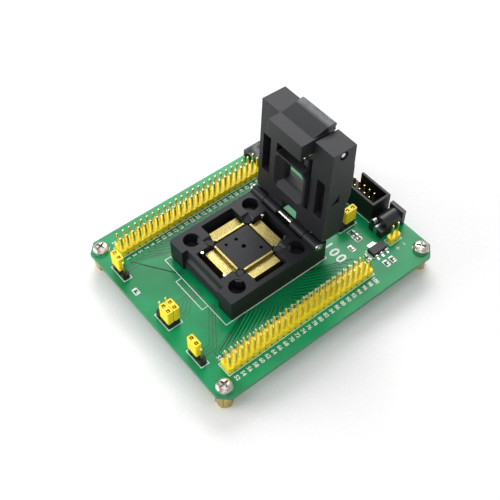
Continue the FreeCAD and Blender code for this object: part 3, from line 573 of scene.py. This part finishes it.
def settled(thing):
    """Mesh of an object with its modifiers applied. The object is removed."""
    bpy.context.view_layer.update()
    shaped = thing.evaluated_get(bpy.context.evaluated_depsgraph_get())
    mesh = bpy.data.meshes.new_from_object(shaped)
    bpy.data.objects.remove(thing)
    return mesh


nickel_plate = finish("nickel_plated_cold_headed_steel", "B9B4A9", "E9E6DF",
                      grain=1.6, roughness=0.32, metallic=1.0)
shank_low = span("board_screws")[0].z
crown = []
for step in range(crown_steps + 1):
    angle = math.pi / 2 * step / crown_steps
    crown.append((head_radius - (1 - math.cos(angle)) * head_radius * crown_share,
                  board_top + crown_start + math.sin(angle) * (head_height - crown_start)))
build = bmesh.new()
turned_solid(build, [(0, shank_low), (shank_point, shank_low), (shank_radius, shank_low + shank_bevel),
                     (shank_radius, board_top), (head_radius - head_edge, board_top),
                     (head_radius, board_top + head_edge)] + crown + [(0, board_top + head_height)],
             screw_sides)
blank = loose_object(mesh_of(build, "screw_blank"))
quarter = [(recess_reach, -recess_half), (recess_reach, recess_half), (recess_half, recess_half)]
cross = [Matrix.Rotation(turn * math.pi / 2, 2) @ Vector(corner)
         for turn in range(4) for corner in quarter]
build = bmesh.new()
levels = []
head_top = board_top + head_height
for z, share_x, share_y in ((head_top - recess_depth, recess_floor_x, recess_floor_y),
                            (head_top + recess_above, recess_mouth, recess_mouth)):
    levels.append([build.verts.new(Vector((p.x * share_x, p.y * share_y, z)) * mm) for p in cross])
for k in range(len(cross)):
    m = (k + 1) % len(cross)
    build.faces.new((levels[0][k], levels[0][m], levels[1][m], levels[1][k]))
build.faces.new(levels[0][::-1])
build.faces.new(levels[1])
recess = loose_object(mesh_of(build, "cross_recess"))
cut = blank.modifiers.new("recess", "BOOLEAN")
cut.operation = "DIFFERENCE"
cut.object = recess
cut.solver = "EXACT"
screw_mesh = settled(blank)
bpy.data.objects.remove(recess)
build = bmesh.new()
for (x, y), turn in zip(screw_places, screw_turns):
    copy = screw_mesh.copy()
    copy.transform(Matrix.Translation(Vector((x, y, 0)) * mm) @ Matrix.Rotation(turn, 4, "Z"))
    build.from_mesh(copy)
screws = piece_of(mesh_of(build, "pan_head_screws"), "pan_head_screws", nickel_plate, "board")
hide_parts("board_screws")

# Standoffs: hexagon brass bar, cut off with turned bevels and tapped right through.
# Bright drawn brass has faint lines along the bar and a pale yellow shine.
bar_sides = 48
bar_bevel = 0.35
bore_radius = 1.25
bore_bevel = 0.2
drawn_brass = finish("bright_drawn_brass", "A8904A", "DCCB88", grain=0.45, roughness=0.3, metallic=1.0,
                     drawn=(1.0, 1.0, 0.05))
bar_top = standoff_high.z
bar_profile = [(bore_radius + bore_bevel, 0.0), (hex_corner - bar_bevel, 0.0), (hex_corner, bar_bevel),
               (hex_corner, bar_top - bar_bevel), (hex_corner - bar_bevel, bar_top),
               (bore_radius + bore_bevel, bar_top), (bore_radius, bar_top - bore_bevel),
               (bore_radius, bore_bevel)]
build = bmesh.new()
for x, y in screw_places:
    rings = []
    for k in range(bar_sides):
        angle = 2 * math.pi * k / bar_sides
        to_flat = hex_across / 2 / math.cos((angle % (math.pi / 3)) - math.pi / 6)
        ring = []
        for radius, z in bar_profile:
            reach = min(radius, to_flat)
            ring.append(build.verts.new(Vector((x + reach * math.cos(angle),
                                                y + reach * math.sin(angle), z)) * mm))
        rings.append(ring)
    for k in range(bar_sides):
        following = rings[(k + 1) % bar_sides]
        for j in range(len(bar_profile)):
            m = (j + 1) % len(bar_profile)
            build.faces.new((rings[k][j], following[j], following[m], rings[k][m]))
standoffs = piece_of(mesh_of(build, "brass_standoffs"), "brass_standoffs", drawn_brass, "board")
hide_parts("standoffs")

# Header strips and jumper caps: glass-filled polyester, injection moulded in bright yellow, with a
# slight sheen and fine flecks where the glass lies near the skin.
yellow_polyester = finish("bright_yellow_moulded_polyester", "F0D400", "FFEE30",
                          grain=1.1, roughness=0.42, depth=0.02)
dress(yellow_polyester, "left_header_body", "right_header_body", "power_header_body", "left_jumper_cap",
      "middle_jumper_front_cap", "middle_jumper_back_cap", "right_jumper_cap", "supply_jumper_cap")

# Jumper strips: the same polyester in black, moulded with a fine eroded skin that keeps the
# highlights wide and grey. The caps sit on them.
black_shine = 0.35
black_polyester = finish("black_moulded_polyester", "0C0C0E", "161618",
                         grain=0.4, roughness=0.42, depth=0.02)
black_surface = black_polyester.node_tree.nodes["Principled BSDF"]
black_surface.inputs["Specular IOR Level"].default_value = black_shine
dress(black_polyester, "left_jumper_base", "middle_jumper_base", "right_jumper_base",
      "supply_jumper_base")

# Header pins: square brass wire, drawn, pointed and gold flashed, with faint lines along the wire
# that break its long highlights.
gold_flash = finish("gold_flashed_square_wire", "E6C85A", "FFF3B0", grain=0.33, roughness=0.3,
                    metallic=1.0, drawn=(1.0, 1.0, 0.1))
dress(gold_flash, *pin_nodes)

# Clips in the jumper caps: folded phosphor bronze strip that grips two pins. It has dulled to a warm
# brown and is seen through the windows in the tops of the caps.
clip_half = 0.42
clip_wall = 0.09
clip_width = 0.8
clip_height = 1.2
clip_below_top = 0.95
clip_round = 0.02


def rounded_block(build, middle, size, softness):
    """Adds a block with softened edges, its place and size in millimetres."""
    corners = bmesh.ops.create_cube(build, size=1.0)["verts"]
    bmesh.ops.scale(build, vec=Vector(size) * mm, verts=corners)
    bmesh.ops.translate(build, vec=Vector(middle) * mm, verts=corners)
    edges = list(dict.fromkeys(edge for corner in corners for edge in corner.link_edges))
    bmesh.ops.bevel(build, geom=edges, offset=softness * mm, segments=2, profile=0.5, affect="EDGES")


dull_bronze = finish("dulled_phosphor_bronze_strip", "7A3E1C", "C9803E",
                     grain=0.8, roughness=0.35, metallic=1.0)
for name, body in (("left_jumper_cap", "left_cap"), ("middle_jumper_front_cap", "middle_front_cap"),
                   ("middle_jumper_back_cap", "middle_back_cap"), ("right_jumper_cap", "right_cap"),
                   ("supply_jumper_cap", "supply_cap")):
    low, high = span(name)
    middle = (low + high) / 2
    along_y = high.y - low.y > high.x - low.x
    build = bmesh.new()
    for step in (-pitch / 2, pitch / 2):
        for side in (-1, 1):
            offset = side * (clip_half + clip_wall / 2)
            spot = (offset, step) if along_y else (step, offset)
            shape = (clip_wall, clip_width) if along_y else (clip_width, clip_wall)
            rounded_block(build, (middle.x + spot[0], middle.y + spot[1], high.z - clip_below_top),
                          (shape[0], shape[1], clip_height), clip_round)
    piece_of(mesh_of(build, name + "_clip"), name + "_clip", dull_bronze, body)

# Socket base and seating platform: dark grey polyethersulphone, moulded in sharp eroded steel tools,
# so its faces are even and softly lit. A small radius on each long edge catches a thin line of light.
grey_shine = 0.27
edge_radius = 0.14
shortest_edge = 1.2
sharp_angle = math.radians(28)
flat_angle = math.radians(1)


def softened(name, body, material):
    """Copy of a CAD node with its long sharp edges rounded, which stands for that node."""
    build = bmesh.new()
    build.from_mesh(nodes[name].data)
    bmesh.ops.remove_doubles(build, verts=build.verts, dist=weld * mm)
    bmesh.ops.dissolve_limit(build, angle_limit=flat_angle, verts=build.verts, edges=build.edges)
    weight = build.edges.layers.float.new("bevel_weight_edge")
    for edge in build.edges:
        if len(edge.link_faces) == 2 and edge.calc_length() > shortest_edge * mm:
            if edge.calc_face_angle() > sharp_angle:
                edge[weight] = 1.0
    mesh = bpy.data.meshes.new(name + "_copy")
    build.to_mesh(mesh)
    build.free()
    copy = loose_object(mesh)
    rounding = copy.modifiers.new("rounding", "BEVEL")
    rounding.limit_method = "WEIGHT"
    rounding.width = edge_radius * mm
    rounding.segments = 2
    rounding.use_clamp_overlap = False
    piece = piece_of(settled(copy), name + "_moulded", material, body)
    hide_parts(name)


def eroded_grey(name):
    """Dark grey socket plastic with the fine skin of an eroded steel tool."""
    material = finish(name, "1B1C20", "27282C", grain=0.35, roughness=0.46, depth=0.02)
    skin = material.node_tree.nodes["Principled BSDF"]
    skin.inputs["Specular IOR Level"].default_value = grey_shine
    return material


grey_sulphone = eroded_grey("dark_grey_eroded_polyethersulphone")
softened("socket_base", "board", grey_sulphone)
softened("seating_platform", "board", grey_sulphone)

# Contact fingers: beryllium copper, stamped, formed and flashed with gold over nickel, in four combs.
# The thin flash looks a pale olive gold, with a satin shine.
contact_gold = finish("thin_gold_flash_on_stamped_copper", "AC994C", "EADB98",
                      grain=0.3, roughness=0.42, metallic=1.0)
dress(contact_gold, "contacts_front", "contacts_back", "contacts_left", "contacts_right")

# Hinge pin, plate pins, latch pin, stop rod and retainer pins: centreless-ground steel rod, bright,
# with faint rings from the wheel. The hinge pin's clips are spring steel with the same shine.
ground_steel = finish("ground_steel_rod", "A9A79F", "F2F0E8", grain=0.55, roughness=0.24, metallic=1.0,
                      drawn=(1.0, 0.05, 0.05))
dress(ground_steel, "hinge_pin", "hinge_clips", "plate_pins", "latch_pin", "stop_rod",
      "retainer_pins", "latch_spring")

# Lid frame and pressure plate: the base's plastic. The plate rocks on its stub pins in the lid's
# opening, and both have the base's small edge radius.
softened("lid_frame", "lid", grey_sulphone)
softened("pressure_plate", "plate", grey_sulphone)

# Latch: the same plastic, but its tab at the back has a paler, patchy grey painted in as a painted
# highlight. The painted highlight starts behind the latch pin and grows towards the tab's end.
highlight_start = 20.0
highlight_full = 21.6
highlight_patch = 3.1
highlight_detail = 4.0
tab_painted_highlight_grey = eroded_grey("painted_highlight_grey_eroded_polyethersulphone")
tree = tab_painted_highlight_grey.node_tree
surface = tree.nodes["Principled BSDF"]
moulded_tone = surface.inputs["Base Color"].links[0].from_socket
place = add_node(tree, "ShaderNodeTexCoord")
split = add_node(tree, "ShaderNodeSeparateXYZ", {"Vector": place.outputs["Object"]})
# Painted highlight: paler grey is mixed in, in patches, along Y towards the tab's end.
reach = add_node(tree, "ShaderNodeMapRange", {"Value": split.outputs["Y"], "From Min": highlight_start * mm,
                                             "From Max": highlight_full * mm})
patches = add_node(tree, "ShaderNodeTexNoise", {"Vector": place.outputs["Object"],
                                                "Scale": 1 / (highlight_patch * mm), "Detail": highlight_detail})
amount = add_node(tree, "ShaderNodeMath", {0: reach.outputs["Result"], 1: patches.outputs["Fac"]},
                  operation="MULTIPLY")
tab_highlight_mix = add_node(tree, "ShaderNodeMix", {"Factor": amount.outputs["Value"],
                                         first_colour: moulded_tone,
                                         second_colour: linear("96979A")}, data_type="RGBA")
tree.links.new(tab_highlight_mix.outputs[mixed_colour], surface.inputs["Base Color"])
softened("lid_latch", "latch", tab_painted_highlight_grey)

# Shrouded header: an open black polyester box round two rows of pins, with the key slot in its back.
# Its rim has a small radius that shows as a thin grey line.
softened("box_header_shroud", "board", black_polyester)

# Power jack: charcoal polyester barrel and flange round a centre pin, with tinned spring contacts
# that curl over its open tail.
charcoal_polyester = finish("charcoal_moulded_polyester", "1C1D1F", "2A2B2E",
                            grain=0.4, roughness=0.4, depth=0.02)
dress(charcoal_polyester, "jack_body", "usb_tongue")
dress(bright_tin, "jack_contacts", "jack_centre_pin")

# Small power receptacle: a folded steel shell, coloured dark in blotches as a painted reflection of
# the black lid beside it.
# Painted reflection: the dark, blotchy tones stand in for the black lid mirrored in the steel.
dark_reflection_shell = finish("painted_dark_reflection_steel_shell", "1D1E1F", "47484A", grain=2.6, roughness=0.4, metallic=1.0)
dress(dark_reflection_shell, "usb_shell")

# Regulator: black epoxy, transfer moulded over its lead frame, with the grey bloom of filled epoxy.
# Its leads and its tab are dipped in tin.
black_epoxy = finish("transfer_moulded_black_epoxy", "151212", "241F1F",
                     grain=0.15, roughness=0.5, depth=0.02)
dress(black_epoxy, "regulator_body")
dress(bright_tin, "regulator_leads")

# Chip resistors, capacitors and lamp: small fired blocks with plated ends, soldered on tinned pads.
# The resistors are glazed black, the capacitors bare tan ceramic, and the lamp has a milky lens.
end_share = 0.2
body_inset = 0.04
chip_round = 0.05
chip_pad_reach = 0.35
chip_pad_side = 0.1
chip_pad_top = 0.05
solder_reach = 0.28
solder_rise = 0.3
highest_share = 0.6


def chips_on_pads(name, material):
    """Rounded bodies, plated ends and soldered pads for each solid of a CAD node."""
    bodies = bmesh.new()
    ends = bmesh.new()
    for low, high in solids_of(name):
        middle = (low + high) / 2
        size = high - low
        turned = size.y > size.x
        length = max(size.x, size.y)
        width = min(size.x, size.y)
        cap = length * end_share

        def placed(along, across, up):
            x, y = (across, along) if turned else (along, across)
            return Vector((middle.x + x, middle.y + y, up))

        def sized(along, across, up):
            return (across, along, up) if turned else (along, across, up)

        rounded_block(bodies, placed(0, 0, middle.z - body_inset / 2),
                      sized(length - 2 * cap, width - 2 * body_inset, size.z - body_inset), chip_round)
        for side in (-1, 1):
            rounded_block(ends, placed(side * (length - cap) / 2, 0, middle.z),
                          sized(cap, width, size.z), chip_round)
            pad_middle = side * (length + chip_pad_reach) / 2
            rounded_block(ends, placed(pad_middle, 0, board_top + chip_pad_top / 2),
                          sized(chip_pad_reach + cap, width + 2 * chip_pad_side, chip_pad_top),
                          chip_pad_top / 3)
            foot = side * (length / 2 + solder_reach)
            rise = board_top + min(solder_rise, size.z * highest_share)
            fillet = []
            for across in (body_inset - width / 2, width / 2 - body_inset):
                for along, up in ((side * length / 2, board_top + chip_pad_top),
                                  (foot, board_top + chip_pad_top), (side * length / 2, rise)):
                    fillet.append(ends.verts.new(placed(along, across, up) * mm))
            ends.faces.new(fillet[0:3])
            ends.faces.new(fillet[3:6][::-1])
            for a, b in ((0, 1), (1, 2), (2, 0)):
                ends.faces.new((fillet[a], fillet[a + 3], fillet[b + 3], fillet[b]))
    body_piece = piece_of(mesh_of(bodies, name + "_bodies"), name + "_bodies", material,
                          "board")
    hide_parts(name)
    piece_of(mesh_of(ends, name + "_ends"), name + "_ends", bright_tin, "board")


black_glaze = finish("glazed_black_ceramic", "151515", "262626", grain=0.35, roughness=0.35)
tan_ceramic = finish("bare_fired_tan_ceramic", "7A6046", "A58763", grain=0.35, roughness=0.5)
milky_lens = finish("milky_cast_lens", "C9C7AE", "ECEAD8", grain=0.35, roughness=0.3)
chips_on_pads("chip_resistors", black_glaze)
chips_on_pads("chip_capacitors", tan_ceramic)
chips_on_pads("status_led", milky_lens)
